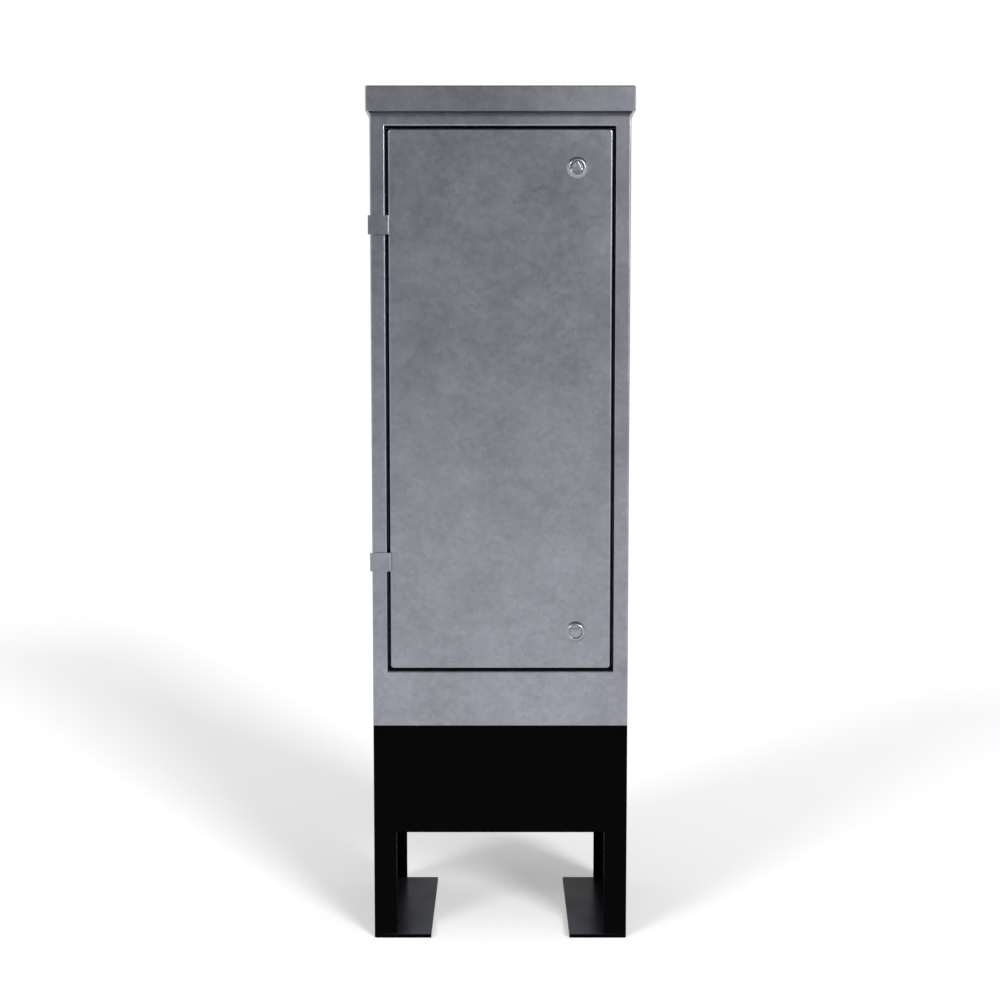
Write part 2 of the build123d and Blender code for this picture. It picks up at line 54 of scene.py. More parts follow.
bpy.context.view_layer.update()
MM = 0.001
WASHER_EASE = 0.25
BORE_PLAY = 0.05
FIXING_SHARP = 32.0
FOLDED_SHARP = 50.0
CURVED_SHARP = 60.0
Material = bpy.types.Material
Socket = bpy.types.NodeSocket
Colour = tuple[float, float, float]
Point = tuple[float, float, float]
Point2 = tuple[float, float]


class Body(Enum):
    """The rigid bodies that a piece can ride on."""

    CABINET = "cabinet"
    DOOR = "door"
    UPPER_LOCK = "upper_lock"
    LOWER_LOCK = "lower_lock"


class Level(Enum):
    """Which of a pair of locks or hinges."""

    UPPER = "upper"
    LOWER = "lower"


class Axis(Enum):
    """The direction of a turned piece's axis."""

    ACROSS = 0
    DEPTH = 1
    UPRIGHT = 2

    def place(self, centre: Point, side: np.ndarray, up: np.ndarray, along: np.ndarray) -> np.ndarray:
        """Lays local coordinates out round the axis, in millimetres.

        Args:
            centre: where the axis passes; its coordinate along the axis is added to along.
            side: first coordinate across the axis.
            up: second coordinate across the axis.
            along: coordinate along the axis.

        Returns:
            Points with the coordinates last.
        """
        side, up, along = np.broadcast_arrays(side, up, along)
        order = {
            Axis.ACROSS: (along, side, up),
            Axis.DEPTH: (side, along, up),
            Axis.UPRIGHT: (side, up, along),
        }
        return np.stack(order[self], axis=-1) + np.asarray(centre, dtype=float)


@dataclass
class Shell:
    """One closed surface: a grid of points joined into quads, with a flat cap where an end is open.

    The columns always close on themselves. The rows close on themselves, or their first and
    last rows are capped by one polygon each.
    """

    points: np.ndarray
    ring: bool = False

    def faces(self) -> list[list[int]]:
        """Joins each point to its neighbours in the next row and column, faces outwards.

        Returns:
            Lists of vertex numbers.
        """
        rows, columns = self.points.shape[:2]
        number = np.arange(rows * columns).reshape(rows, columns)
        lower = number if self.ring else number[:-1]
        upper = np.roll(number, -1, axis=0) if self.ring else number[1:]
        next_lower, next_upper = np.roll(lower, -1, axis=1), np.roll(upper, -1, axis=1)
        faces = np.stack([lower, next_lower, next_upper, upper], axis=-1).reshape(-1, 4)
        flat = self.points.reshape(-1, 3)
        middle = flat.mean(axis=0)
        a, b, c, d = (flat[faces[:, k]] - middle for k in range(4))
        volume = np.einsum("ij,ij->", a, np.cross(b, c)) + np.einsum("ij,ij->", a, np.cross(c, d))
        caps = [] if self.ring else [number[0][::-1], number[-1]]
        for cap in caps:
            first = flat[cap[0]] - middle
            fan = np.cross(flat[cap[1:-1]] - middle, flat[cap[2:]] - middle)
            volume += float((fan @ first).sum())
        faces = faces.tolist() + [cap.tolist() for cap in caps]
        return faces if volume > 0 else [face[::-1] for face in faces]


def make_piece(name: str, shells: list[Shell], body: Body, slot: str, finishes: dict[str, Material],
               nodes: tuple[str, ...], sharp: float) -> None:
    """Puts shells into one mesh and ties it to its body, its slot and the nodes it stands for.

    Args:
        name: the piece's name.
        shells: closed surfaces in millimetres.
        body: the body that it rides on.
        slot: the record's material slot.
        finishes: the material for each slot.
        nodes: carried-over nodes that it replaces.
        sharp: degrees above which an edge stays sharp.
    """
    faces: list[list[int]] = []
    start = 0
    for shell in shells:
        faces += [[start + k for k in face] for face in shell.faces()]
        start += shell.points.shape[0] * shell.points.shape[1]
    points = np.concatenate([shell.points.reshape(-1, 3) for shell in shells]) * MM
    mesh = bpy.data.meshes.new(name)
    mesh.from_pydata(points.tolist(), [], faces)
    mesh.shade_smooth()
    mesh.set_sharp_from_angle(angle=math.radians(sharp))
    mesh.materials.append(finishes[slot])
    piece = bpy.data.objects.new(name, mesh)
    bpy.context.scene.collection.objects.link(piece)
    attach(piece, body.value)
    if nodes:
        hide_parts(*nodes)
    LOG.info("made %s on %s, %d faces", name, body.value, len(faces))


def rounded(corners: list[Point2], cuts: list[float] | float, steps: int = 6) -> np.ndarray:
    """A closed outline with its corners rounded.

    Each corner gives way to a quadratic curve that starts a cut's length before it and ends a
    cut's length after it, with the corner as the curve's middle control point.

    Args:
        corners: the outline's corners, in order.
        cuts: length taken off each side of each corner.
        steps: points on each curve.

    Returns:
        The outline's points, two coordinates each.
    """
    corner = np.asarray(corners, dtype=float)
    cut = np.broadcast_to(np.asarray(cuts, dtype=float), len(corner))[:, None]
    before = np.roll(corner, 1, axis=0) - corner
    after = np.roll(corner, -1, axis=0) - corner
    start = corner + cut * before / np.linalg.norm(before, axis=1, keepdims=True)
    end = corner + cut * after / np.linalg.norm(after, axis=1, keepdims=True)
    t = np.linspace(0.0, 1.0, steps)[None, :, None]
    curve = (1 - t) ** 2 * start[:, None] + 2 * t * (1 - t) * corner[:, None] + t**2 * end[:, None]
    return curve.reshape(-1, 2)


def turns(steps: int) -> np.ndarray:
    """Even turns round an axis, in one row."""
    return np.linspace(0.0, math.tau, steps, endpoint=False)[None, :]


def turned(outline: np.ndarray, axis: Axis, centre: Point, steps: int = 72) -> Shell:
    """A turned ring: each outline point (radius, distance along) is carried round the axis.

    Args:
        outline: closed outline of radius and distance along the axis.
        axis: the axis' direction.
        centre: where the axis passes.
        steps: points round the axis.

    Returns:
        The shell, closed both ways.
    """
    turn = turns(steps)
    radius, along = outline[:, :1], outline[:, 1:]
    return Shell(axis.place(centre, radius * np.cos(turn), radius * np.sin(turn), along), ring=True)


def washer(axis: Axis, centre: Point, low: float, high: float, radius: float, bore: float) -> Shell:
    """A flat ring with eased edges.

    Args:
        axis: the axis' direction.
        centre: where the axis passes.
        low: lower end along the axis.
        high: upper end along the axis.
        radius: outer radius.
        bore: inner radius.

    Returns:
        The turned shell.
    """
    corners = [(bore, low), (radius, low), (radius, high), (bore, high)]
    return turned(rounded(corners, WASHER_EASE, 4), axis, centre, 40)


def hexagon(axis: Axis, centre: Point, low: float, high: float, flats: float, bore: float,
            easing: tuple[bool, bool] = (True, True)) -> Shell:
    """A hexagon nut or head whose corners are turned off to a cone at its ends.

    Round the axis the radius is the smaller of the hexagon's, which is half the flats over the
    cosine of the angle from the nearest flat, and a cone's, which narrows by 1.7 for each unit
    of height towards an eased end.

    Args:
        axis: the axis' direction.
        centre: where the axis passes.
        low: lower end along the axis.
        high: upper end along the axis.
        flats: width across the flats.
        bore: radius of the hole.
        easing: whether the lower and the upper end are coned.

    Returns:
        The shell, closed both ways.
    """
    slope, end_share, corner_rise = 1.7, 0.97, 0.155
    turn = turns(72)
    face = np.mod(turn + math.pi / 6, math.pi / 3) - math.pi / 6
    six = flats / 2 / np.cos(face)
    ends = np.linspace(0.0, flats * 0.5 * corner_rise / slope, 7)
    along = np.concatenate([low + ends, high - ends[::-1]])[:, None]
    cone = np.full_like(along, flats)
    for eased, height in zip(easing, (along - low, high - along)):
        if eased:
            cone = np.minimum(cone, flats / 2 * end_share + slope * height)
    outer = np.minimum(six, cone)
    inner = np.full((2, turn.shape[1]), bore)
    radius = np.concatenate([outer, inner])
    height = np.concatenate([along, [[high], [low]]])
    return Shell(axis.place(centre, radius * np.cos(turn), radius * np.sin(turn), height), ring=True)


def threaded(axis: Axis, centre: Point, low: float, high: float, radius: float, pitch: float) -> Shell:
    """A threaded rod.

    The radius falls from the rod's own by up to 0.6 pitch along a triangle wave whose phase is
    the distance along over the pitch, less the turn round the axis. Both ends are coned.

    Args:
        axis: the axis' direction.
        centre: where the axis passes.
        low: lower end along the axis.
        high: upper end along the axis.
        radius: outer radius.
        pitch: length of one turn.

    Returns:
        The capped shell.
    """
    depth_share, end_share, rows_per_turn = 0.6, 0.78, 6
    turn = turns(20)
    along = np.linspace(low, high, max(8, round((high - low) / pitch * rows_per_turn)))[:, None]
    phase = np.mod(along / pitch - turn / math.tau, 1.0)
    depth = depth_share * pitch * (1.0 - np.abs(2.0 * phase - 1.0))
    cone = radius * end_share + np.minimum(along - low, high - along)
    r = np.minimum(radius - depth, cone)
    return Shell(axis.place(centre, r * np.cos(turn), r * np.sin(turn), along))


def bead(start: Point, end: Point, radius: float, pitch: float = 2.6) -> Shell:
    """A weld bead: a round bar along a line whose radius ripples and tapers at its ends.

    The radius is the bead's own times one less 0.12 of a raised cosine of the distance along
    over the pitch, rounded off as a quarter-circle near both ends. The middle wanders sideways
    by up to 0.12 of the radius, as a sine of the distance along.

    Args:
        start: one end of the line.
        end: the other end.
        radius: the bead's radius.
        pitch: length of one ripple.

    Returns:
        The capped shell.
    """
    ripple, end_length, wander_length = 0.12, 1.4, 9.0
    askew = (0.31, 0.52, 0.8)
    a, b = np.asarray(start, dtype=float), np.asarray(end, dtype=float)
    length = float(np.linalg.norm(b - a))
    along = (b - a) / length
    side = np.cross(along, askew)
    side /= np.linalg.norm(side)
    up = np.cross(along, side)
    s = np.linspace(0.0, length, max(12, round(length / pitch * 5)))[:, None]
    near_end = np.clip(np.minimum(s, length - s) / (end_length * radius), 0.02, 1.0)
    rippled = radius * (1.0 - ripple * (0.5 + 0.5 * np.cos(math.tau * s / pitch)))
    r = rippled * np.sqrt(1 - (1 - near_end) ** 2)
    wander = ripple * radius * np.sin(s / wander_length + length)
    turn = turns(14)
    across = (r * np.cos(turn) + wander)[..., None] * side + (r * np.sin(turn))[..., None] * up
    return Shell(a + s[..., None] * along + across)


class NodeGraph:
    """A small hand for laying out shader nodes."""

    def __init__(self, tree: bpy.types.NodeTree) -> None:
        """Starts from an empty tree.

        Args:
            tree: the node tree of a material or a world.
        """
        self.tree = tree
        tree.nodes.clear()

    def add(self, kind: str, **values: object) -> bpy.types.Node:
        """Adds a node and sets its properties and input sockets.

        Args:
            kind: Blender's name of the node class.
            values: properties of the node, or input sockets with underscores for spaces.

        Returns:
            The new node.
        """
        node = self.tree.nodes.new(kind)
        for key, value in values.items():
            if hasattr(node, key):
                setattr(node, key, value)
            else:
                node.inputs[key.replace("_", " ")].default_value = value
        return node

    def link(self, source: Socket, target: Socket) -> None:
        """Joins an output socket to an input socket."""
        self.tree.links.new(source, target)

    def math(self, operation: str, first: object, second: object = 0.0) -> Socket:
        """Adds a Math node.

        Args:
            operation: the operation's name, such as ADD.
            first: a number or an output socket.
            second: a number or an output socket.

        Returns:
            The node's output socket.
        """
        node = self.add("ShaderNodeMath", operation=operation)
        for index, value in enumerate((first, second)):
            if isinstance(value, Socket):
                self.link(value, node.inputs[index])
            else:
                node.inputs[index].default_value = value
        return node.outputs[0]

    def place(self, scale: Point = (1.0, 1.0, 1.0)) -> Socket:
        """Object coordinates in metres, stretched by a scale for each axis.

        Args:
            scale: the factors along X, Y and Z.

        Returns:
            The vector socket.
        """
        coordinates = self.add("ShaderNodeTexCoord")
        mapping = self.add("ShaderNodeMapping")
        mapping.inputs["Scale"].default_value = scale
        self.link(coordinates.outputs["Object"], mapping.inputs["Vector"])
        return mapping.outputs["Vector"]

    def noise(self, vector: Socket, scale: float, detail: float = 2.0,
              roughness: float = 0.5) -> Socket:
        """Cloudy noise between 0 and 1.

        Args:
            vector: where it is read.
            scale: cycles for each metre.
            detail: number of finer octaves.
            roughness: strength of the finer octaves.

        Returns:
            The value socket.
        """
        node = self.add("ShaderNodeTexNoise", Scale=scale, Detail=detail, Roughness=roughness)
        self.link(vector, node.inputs["Vector"])
        return node.outputs[0]

    def ramp(self, value: Socket, low: Colour, high: Colour,
             start: float = 0.0, end: float = 1.0) -> Socket:
        """Turns a value into a colour between two ends.

        Args:
            value: the socket that drives it.
            low: colour at start.
            high: colour at end.
            start: value of the low end.
            end: value of the high end.

        Returns:
            The colour socket.
        """
        node = self.add("ShaderNodeValToRGB")
        first, last = node.color_ramp.elements
        first.position, last.position = start, end
        first.color, last.color = (*low, 1.0), (*high, 1.0)
        self.link(value, node.inputs[0])
        return node.outputs[0]

    def spread(self, value: Socket, low: float, high: float,
               start: float = 0.0, end: float = 1.0) -> Socket:
        """Maps a value from one range to another.

        Args:
            value: the socket that drives it.
            low: result at start.
            high: result at end.
            start: value of the low end.
            end: value of the high end.

        Returns:
            The value socket.
        """
        node = self.add("ShaderNodeMapRange", From_Min=start, From_Max=end, To_Min=low, To_Max=high)
        self.link(value, node.inputs[0])
        return node.outputs[0]

    def vary(self, value: Socket, finish: object) -> Socket:
        """Spreads a finish's roughness over the range of its tones."""
        middle, spread = finish.roughness, finish.roughness_spread
        return self.spread(value, middle - spread, middle + spread, *finish.tones)

    def bump(self, height: Socket, depth: float) -> Socket:
        """A bump from a height between 0 and 1.

        Args:
            height: the height socket.
            depth: metres between 0 and 1.

        Returns:
            The normal socket.
        """
        node = self.add("ShaderNodeBump", Strength=1.0, Distance=depth)
        self.link(height, node.inputs["Height"])
        return node.outputs["Normal"]


def new_material(name: str) -> tuple[Material, NodeGraph, bpy.types.Node]:
    """Makes a material with one Principled shader.

    Args:
        name: the material's name.

    Returns:
        The material, its graph and the shader node.
    """
    material = bpy.data.materials.new(name)
    material.use_nodes = True
    graph = NodeGraph(material.node_tree)
    shader = graph.add("ShaderNodeBsdfPrincipled")
    output = graph.add("ShaderNodeOutputMaterial")
    graph.link(shader.outputs[0], output.inputs["Surface"])
    return material, graph, shader


@dataclass(frozen=True)
class GalvanisedSteel:
    """Hot-dip galvanised sheet: small zinc crystals under soft cloudy patches, all close in tone.

    The canopy's upright corners on the right are welded. Their finish is rougher there, and their
    colour is darkened as painted shade that dims the lamp's highlight on their bends.
    """

    name: str = "galvanised_steel"
    dark: Colour = (0.226, 0.232, 0.262)
    pale: Colour = (0.344, 0.353, 0.397)
    crystals_per_metre: float = 130.0
    crystal_warp: float = 0.008
    crystal_share: float = 0.2
    clouds_per_metre: float = 9.0
    cloud_share: float = 0.85
    mist_ratio: float = 4.3
    mist_share: float = 0.35
    tones: Point2 = (0.35, 1.05)
    roughness: float = 0.3
    roughness_spread: float = 0.015
    dimple_depth: float = 0.00002
    corner_reach: float = 0.0026
    corner_fade: float = 0.0003
    corner_dullness: float = 0.45
    corner_painted_shade: float = 0.22

    def corner(self, graph: NodeGraph, place: Socket) -> Socket:
        """A mask of the canopy's upright corners on the right, which lie farthest out both ways.

        Args:
            graph: the material's graph.
            place: object coordinates.

        Returns:
            The value socket, one at the corners and zero elsewhere.
        """
        parts = graph.add("ShaderNodeSeparateXYZ")
        graph.link(place, parts.inputs[0])
        distances = (parts.outputs["X"], graph.math("ABSOLUTE", parts.outputs["Y"]))
        masks = []
        for distance, far in zip(distances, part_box("canopy")[1]):
            start = float(far) - self.corner_reach
            masks.append(graph.spread(distance, 0.0, 1.0, start, start + self.corner_fade))
        return graph.math("MULTIPLY", *masks)

    def material(self) -> Material:
        """Builds the material.

        Returns:
            The material.
        """
        material, graph, shader = new_material(self.name)
        place = graph.place()
        warp = graph.add("ShaderNodeTexNoise", Scale=self.crystals_per_metre, Detail=2.0)
        graph.link(place, warp.inputs["Vector"])
        warped = graph.add("ShaderNodeVectorMath", operation="MULTIPLY_ADD")
        graph.link(warp.outputs["Color"], warped.inputs[0])
        warped.inputs[1].default_value = (self.crystal_warp,) * 3
        graph.link(place, warped.inputs[2])
        cells = graph.add("ShaderNodeTexVoronoi", Scale=self.crystals_per_metre)
        graph.link(warped.outputs[0], cells.inputs["Vector"])
        crystals = graph.add("ShaderNodeSeparateColor")
        graph.link(cells.outputs["Color"], crystals.inputs[0])
        clouds = graph.noise(place, self.clouds_per_metre, 5.0, 0.62)
        mist = graph.noise(place, self.clouds_per_metre * self.mist_ratio, 3.0, 0.55)
        tone = graph.math("MULTIPLY", crystals.outputs[0], self.crystal_share)
        tone = graph.math("ADD", tone, graph.math("MULTIPLY", clouds, self.cloud_share))
        tone = graph.math("ADD", tone, graph.math("MULTIPLY", mist, self.mist_share))
        colour = graph.ramp(tone, self.dark, self.pale, *self.tones)
        corner = self.corner(graph, place)
        # Painted shade: the base colour is darkened at the canopy's right upright corners, to dim the
        # key lamp's highlight on their bends.
        shaded = graph.add("ShaderNodeVectorMath", operation="SCALE")
        graph.link(colour, shaded.inputs[0])
        graph.link(graph.spread(corner, 1.0, 1.0 - self.corner_painted_shade), shaded.inputs["Scale"])
        graph.link(shaded.outputs[0], shader.inputs["Base Color"])
        shader.inputs["Metallic"].default_value = 1.0
        dull = graph.math("MULTIPLY", corner, self.corner_dullness)
        graph.link(graph.math("ADD", graph.vary(tone, self), dull), shader.inputs["Roughness"])
        graph.link(graph.bump(tone, self.dimple_depth), shader.inputs["Normal"])
        return material


@dataclass(frozen=True)
class BitumenPaint:
    """Thick black bitumen paint with faint brush ripples; dust and a painted sheen on top of the feet,
    with painted shade by the legs.
    """

    name: str = "bitumen_paint"
    dark: Colour = (0.0001, 0.0001, 0.00012)
    pale: Colour = (0.0003, 0.0003, 0.00035)
    tones: Point2 = (0.3, 0.7)
    roughness: float = 0.3
    roughness_spread: float = 0.06
    ripples_per_metre: float = 90.0
    ripple_stretch: float = 0.16
    ripple_depth: float = 0.00006
    clouds_per_metre: float = 14.0
    ior: float = 1.1
    dust_and_sheen: Colour = (0.034, 0.037, 0.055)
    dust_fade: float = 0.0002

    def dust_sheen_and_shade(self, graph: NodeGraph, colour: Socket) -> Socket:
        """Adds dust and a painted sheen to the feet's top faces, thinning towards the legs as painted
        shade.

        Args:
            graph: the material's graph.
            colour: the clean paint's colour.

        Returns:
            The colour socket.
        """
        parts = graph.add("ShaderNodeSeparateXYZ")
        graph.link(graph.place(), parts.inputs[0])
        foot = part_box("right_foot")
        inner, outer, top = float(foot[0][0]), float(foot[1][0]), float(foot[1][2])
        near, far = self.dust_fade, 2.0 * self.dust_fade
        above = graph.spread(parts.outputs["Z"], 0.0, 1.0, top - far, top - near)
        below = graph.spread(parts.outputs["Z"], 1.0, 0.0, top + near, top + far)
        # Painted shade: the dust and painted sheen thin out towards the legs, where the plates lie in
        # their shade.
        painted_shade_fade = graph.spread(graph.math("ABSOLUTE", parts.outputs["X"]), 1.0, 0.0, inner, outer)
        mask = graph.math("MULTIPLY", graph.math("MULTIPLY", above, below), painted_shade_fade)
        dust_and_sheen_node = graph.add("ShaderNodeVectorMath", operation="MULTIPLY_ADD")
        graph.link(mask, dust_and_sheen_node.inputs[0])
        dust_and_sheen_node.inputs[1].default_value = self.dust_and_sheen
        graph.link(colour, dust_and_sheen_node.inputs[2])
        return dust_and_sheen_node.outputs[0]

    def material(self) -> Material:
        """Builds the material.

        Returns:
            The material.
        """
        material, graph, shader = new_material(self.name)
        upright = graph.place((1.0, 1.0, self.ripple_stretch))
        brushed = graph.noise(upright, self.ripples_per_metre, 3.0)
        clouds = graph.noise(graph.place(), self.clouds_per_metre, 3.0)
        clean = graph.ramp(clouds, self.dark, self.pale, *self.tones)
        graph.link(self.dust_sheen_and_shade(graph, clean), shader.inputs["Base Color"])
        graph.link(graph.vary(clouds, self), shader.inputs["Roughness"])
        graph.link(graph.bump(brushed, self.ripple_depth), shader.inputs["Normal"])
        shader.inputs["IOR"].default_value = self.ior
        return material


@dataclass(frozen=True)
class PlatedMetal:
    """Plated, cast or turned metal with a fine even grain."""

    name: str
    dark: Colour
    pale: Colour
    roughness: float
    roughness_spread: float = 0.05
    tones: Point2 = (0.3, 0.7)
    clouds_per_metre: float = 60.0
    grain_per_metre: float = 900.0
    grain_depth: float = 0.00001

    def material(self) -> Material:
        """Builds the material.

        Returns:
            The material.
        """
        material, graph, shader = new_material(self.name)
        place = graph.place()
        grain = graph.noise(place, self.grain_per_metre, 3.0)
        clouds = graph.noise(place, self.clouds_per_metre, 2.0)
        graph.link(graph.ramp(clouds, self.dark, self.pale, *self.tones), shader.inputs["Base Color"])
        shader.inputs["Metallic"].default_value = 1.0
        graph.link(graph.vary(clouds, self), shader.inputs["Roughness"])
        graph.link(graph.bump(grain, self.grain_depth), shader.inputs["Normal"])
        return material


@dataclass(frozen=True)
class SealFoam:
    """Black closed-cell foam with a pricked skin."""

    name: str = "seal_foam"
    dark: Colour = (0.008, 0.008, 0.009)
    pale: Colour = (0.02, 0.02, 0.021)
    tones: Point2 = (0.3, 0.7)
    cells_per_metre: float = 1400.0
    cell_depth: float = 0.0002
    roughness: float = 0.9

    def material(self) -> Material:
        """Builds the material.

        Returns:
            The material.
        """
        material, graph, shader = new_material(self.name)
        cells = graph.noise(graph.place(), self.cells_per_metre, 2.0)
        graph.link(graph.ramp(cells, self.dark, self.pale, *self.tones), shader.inputs["Base Color"])
        shader.inputs["Roughness"].default_value = self.roughness
        graph.link(graph.bump(cells, self.cell_depth), shader.inputs["Normal"])
        return material


@dataclass(frozen=True)
class Plywood:
    """Exterior plywood: long wavy grain on the faces and thin plies along the edges."""

    name: str = "plywood"
    dark: Colour = (0.33, 0.18, 0.075)
    pale: Colour = (0.58, 0.38, 0.2)
    tones: Point2 = (0.1, 1.1)
    rings: float = 9.0
    ring_share: float = 0.6
    ring_stretch: float = 0.12
    rings_per_metre: float = 16.0
    fibre_share: float = 0.4
    fibre_stretch: float = 0.02
    fibres_per_metre: float = 900.0
    fibre_depth: float = 0.0001
    plies_per_metre: float = 420.0
    stripe: float = 0.35
    roughness: float = 0.62

    def material(self) -> Material:
        """Builds the material.

        Returns:
            The material.
        """
        material, graph, shader = new_material(self.name)
        wander = graph.noise(graph.place((1.0, 1.0, self.ring_stretch)), self.rings_per_metre, 3.0)
        fibre = graph.noise(graph.place((1.0, 1.0, self.fibre_stretch)), self.fibres_per_metre, 3.0)
        rings = graph.math("FRACT", graph.math("MULTIPLY", wander, self.rings))
        grain = graph.math("ADD", graph.math("MULTIPLY", rings, self.ring_share),
                           graph.math("MULTIPLY", fibre, self.fibre_share))
        facing = graph.add("ShaderNodeSeparateXYZ")
        graph.link(graph.add("ShaderNodeTexCoord").outputs["Normal"], facing.inputs[0])
        edge = graph.math("SUBTRACT", 1.0, graph.math("ABSOLUTE", facing.outputs["Y"]))
        depth = graph.add("ShaderNodeSeparateXYZ")
        graph.link(graph.place(), depth.inputs[0])
        pairs = graph.math("MULTIPLY", depth.outputs["Y"], self.plies_per_metre / 2.0)
        ply = graph.math("FRACT", pairs)
        stripe = graph.math("MULTIPLY", graph.math("GREATER_THAN", ply, 0.5), edge)
        grain = graph.math("ADD", grain, graph.math("MULTIPLY", stripe, self.stripe))
        graph.link(graph.ramp(grain, self.pale, self.dark, *self.tones), shader.inputs["Base Color"])
        shader.inputs["Roughness"].default_value = self.roughness
        graph.link(graph.bump(fibre, self.fibre_depth), shader.inputs["Normal"])
        return material


@dataclass
class Studio:
    """The pale floor, the soft lamps, the world and the camera at the photograph's angle."""

    camera_place: Point = (-0.0006, -2.596, 0.914)
    camera_pitch: float = 85.267
    camera_shift: float = -0.0075
    lens: float = 57.1
    sensor: float = 36.0
    floor_half: float = 60.0
    floor_front: float = 15.0
    floor_colour: Colour = (1.0, 1.0, 1.0)
    floor_lift: float = 0.27
    diffuse_level: float = 0.37
    diffuse_tilt: float = 0.9
    room_level: float = 0.166
    back_level: float = 1.0
    back_starts: Point2 = (-0.6, -0.05)
    left_starts: Point2 = (-0.65, -0.4)
    top_fades: Point2 = (0.4, 0.75)
    key_strength: float = 2.6
    key_azimuth: float = 30.0
    key_elevation: float = 20.0
    fill_strength: float = 1.05
    fill_azimuth: float = -39.0
    fill_elevation: float = 28.0
    lamp_softness: float = 17.0

    def build(self) -> None:
        """Makes the stage."""
        self.make_camera()
        self.make_world()
        self.make_floor()
        self.make_lamp("key_lamp", self.key_strength, self.key_azimuth, self.key_elevation)
        self.make_lamp("fill_lamp", self.fill_strength, self.fill_azimuth, self.fill_elevation)
        bpy.context.scene.view_settings.view_transform = "Standard"

    def make_camera(self) -> None:
        """Places the camera in front of the door, a little above its middle, tipped down."""
        data = bpy.data.cameras.new("camera")
        data.lens = self.lens
        data.sensor_width = self.sensor
        data.shift_y = self.camera_shift
        data.clip_end = 500.0
        camera = bpy.data.objects.new("camera", data)
        camera.location = self.camera_place
        camera.rotation_euler = (math.radians(self.camera_pitch), 0.0, 0.0)
        bpy.context.scene.collection.objects.link(camera)
        bpy.context.scene.camera = camera

    def make_world(self) -> None:
        """A room that the camera sees as white.

        Glossy rays see it grey, with a white backdrop and a pale wall on the left that fade out
        overhead. Diffuse rays see a soft light that comes mostly from the front.
        """
        world = bpy.data.worlds.new("studio")
        world.use_nodes = True
        graph = NodeGraph(world.node_tree)
        path = graph.add("ShaderNodeLightPath")
        light = graph.add("ShaderNodeBackground", Color=(1.0, 1.0, 1.0, 1.0))
        direction = graph.add("ShaderNodeTexCoord").outputs["Generated"]
        parts = graph.add("ShaderNodeSeparateXYZ")
        graph.link(direction, parts.inputs[0])
        behind = graph.spread(parts.outputs["Y"], 0.0, 1.0, *self.back_starts)
        left = graph.spread(parts.outputs["X"], 1.0, 0.0, *self.left_starts)
        low = graph.spread(parts.outputs["Z"], 1.0, 0.0, *self.top_fades)
        pale = graph.math("MULTIPLY", graph.math("MAXIMUM", behind, left), low)
        level = graph.spread(pale, self.room_level, self.back_level)
        soft = graph.spread(parts.outputs["Y"], self.diffuse_level * (1.0 + self.diffuse_tilt),
                            self.diffuse_level * (1.0 - self.diffuse_tilt), -1.0, 1.0)
        glossy = graph.math("SUBTRACT", level, soft)
        glossy = graph.math("MULTIPLY", path.outputs["Is Glossy Ray"], glossy)
        graph.link(graph.math("ADD", soft, glossy), light.inputs["Strength"])
        white = graph.add("ShaderNodeBackground", Color=(1.0, 1.0, 1.0, 1.0), Strength=1.0)
        mix = graph.add("ShaderNodeMixShader")
        output = graph.add("ShaderNodeOutputWorld")
        seen = graph.math("MAXIMUM", path.outputs["Is Camera Ray"], path.outputs["Is Transmission Ray"])
        graph.link(seen, mix.inputs[0])
        graph.link(light.outputs[0], mix.inputs[1])
        graph.link(white.outputs[0], mix.inputs[2])
        graph.link(mix.outputs[0], output.inputs["Surface"])
        bpy.context.scene.world = world

    def make_floor(self) -> None:
        """A wide flat floor, shorter in front: its lit parts read as white, its shadows as grey."""
        far, near = self.floor_half, -self.floor_front
        corners = [(-far, near, 0.0), (far, near, 0.0), (far, far, 0.0), (-far, far, 0.0)]
        mesh = bpy.data.meshes.new("floor")
        mesh.from_pydata(corners, [], [(0, 1, 2, 3)])
        floor = bpy.data.objects.new("floor", mesh)
        bpy.context.scene.collection.objects.link(floor)
        material = bpy.data.materials.new("floor")
        material.use_nodes = True
        graph = NodeGraph(material.node_tree)
        diffuse = graph.add("ShaderNodeBsdfDiffuse", Color=(*self.floor_colour, 1.0))
        glow = graph.add("ShaderNodeEmission")
        path = graph.add("ShaderNodeLightPath")
        seen = graph.math("MAXIMUM", path.outputs["Is Camera Ray"], path.outputs["Is Glossy Ray"])
        seen = graph.math("MAXIMUM", seen, path.outputs["Is Transmission Ray"])
        graph.link(graph.math("MULTIPLY", seen, self.floor_lift), glow.inputs["Strength"])
        both = graph.add("ShaderNodeAddShader")
        output = graph.add("ShaderNodeOutputMaterial")
        graph.link(diffuse.outputs[0], both.inputs[0])
        graph.link(glow.outputs[0], both.inputs[1])
        graph.link(both.outputs[0], output.inputs["Surface"])
        mesh.materials.append(material)

    def make_lamp(self, name: str, strength: float, azimuth: float, elevation: float) -> None:
        """A wide soft lamp far away.

        Args:
            name: the lamp's name.
            strength: light on a face turned to the lamp, in watts for each square metre.
            azimuth: degrees to the right of straight in front.
            elevation: degrees above the floor.
        """
        data = bpy.data.lights.new(name, "SUN")
        data.energy = strength
        data.angle = math.radians(self.lamp_softness)
        lamp = bpy.data.objects.new(name, data)
        lamp.rotation_euler = (math.radians(90.0 - elevation), 0.0, math.radians(azimuth))
        bpy.context.scene.collection.objects.link(lamp)


